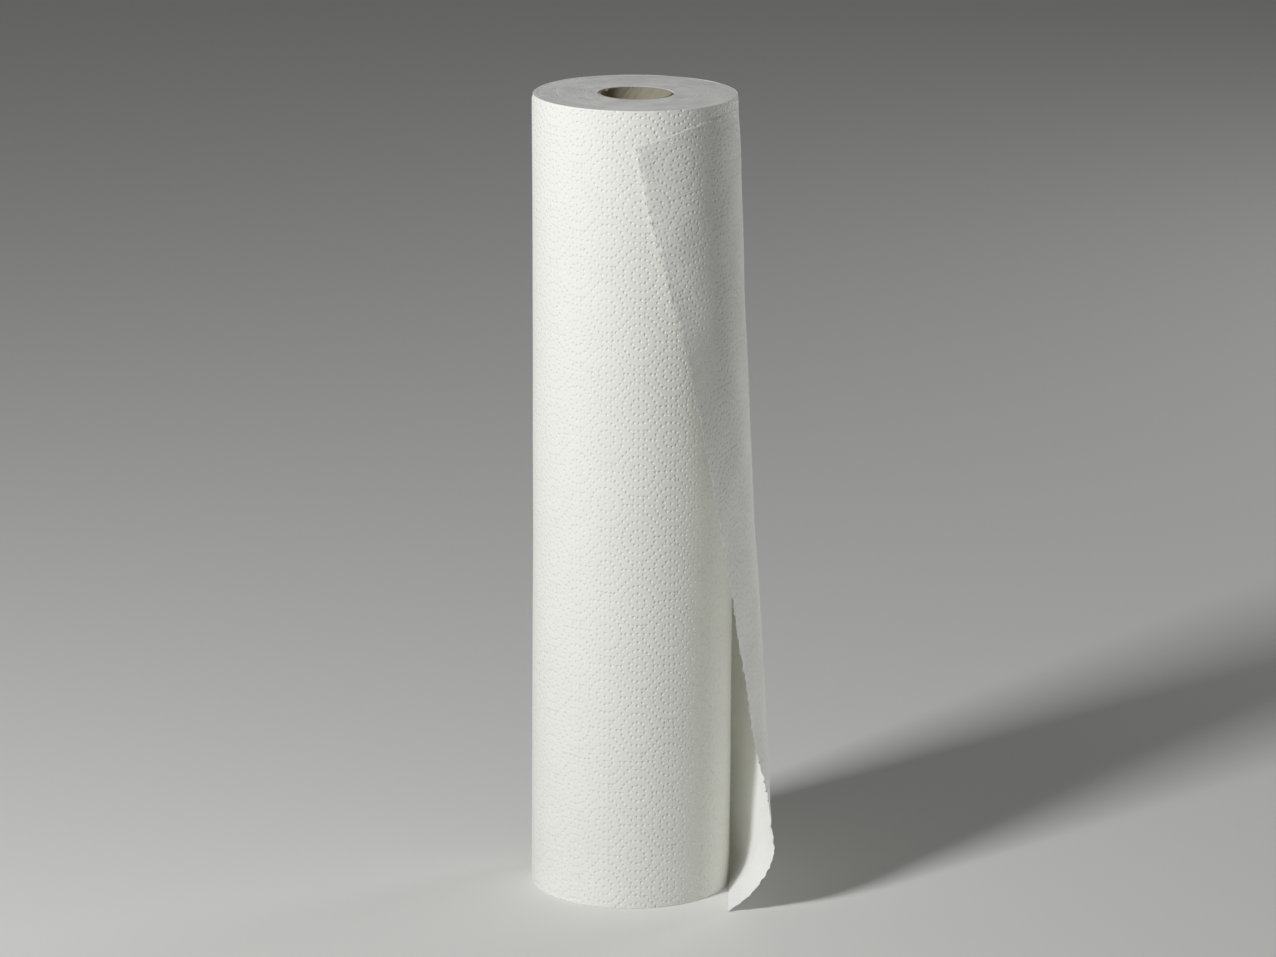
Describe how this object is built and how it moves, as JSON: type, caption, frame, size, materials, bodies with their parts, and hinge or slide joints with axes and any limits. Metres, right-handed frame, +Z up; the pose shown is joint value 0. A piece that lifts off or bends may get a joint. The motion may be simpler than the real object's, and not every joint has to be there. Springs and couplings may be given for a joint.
{
  "type": "exam table paper roll",
  "caption": "Wide roll of white embossed exam table paper wound on a cardboard core, standing on its end, with the outer turn come loose and a torn free edge.",
  "frame": {"origin": "on the core's axis at the roll's bottom end, on the surface that it stands on", "axes": "+Z up along the core's axis, -Y towards the torn free edge, +X towards the side where the outer turn stands open"},
  "size_m": [0.1503, 0.1322, 0.5],
  "materials": {
    "embossed_paper": "matt white two-ply paper with embossed dots",
    "core_board": "grey-brown spirally wound board"
  },
  "bodies": {
    "root": {"paper_roll": "embossed_paper", "core_tube": "core_board"}
  },
  "joints": []
}
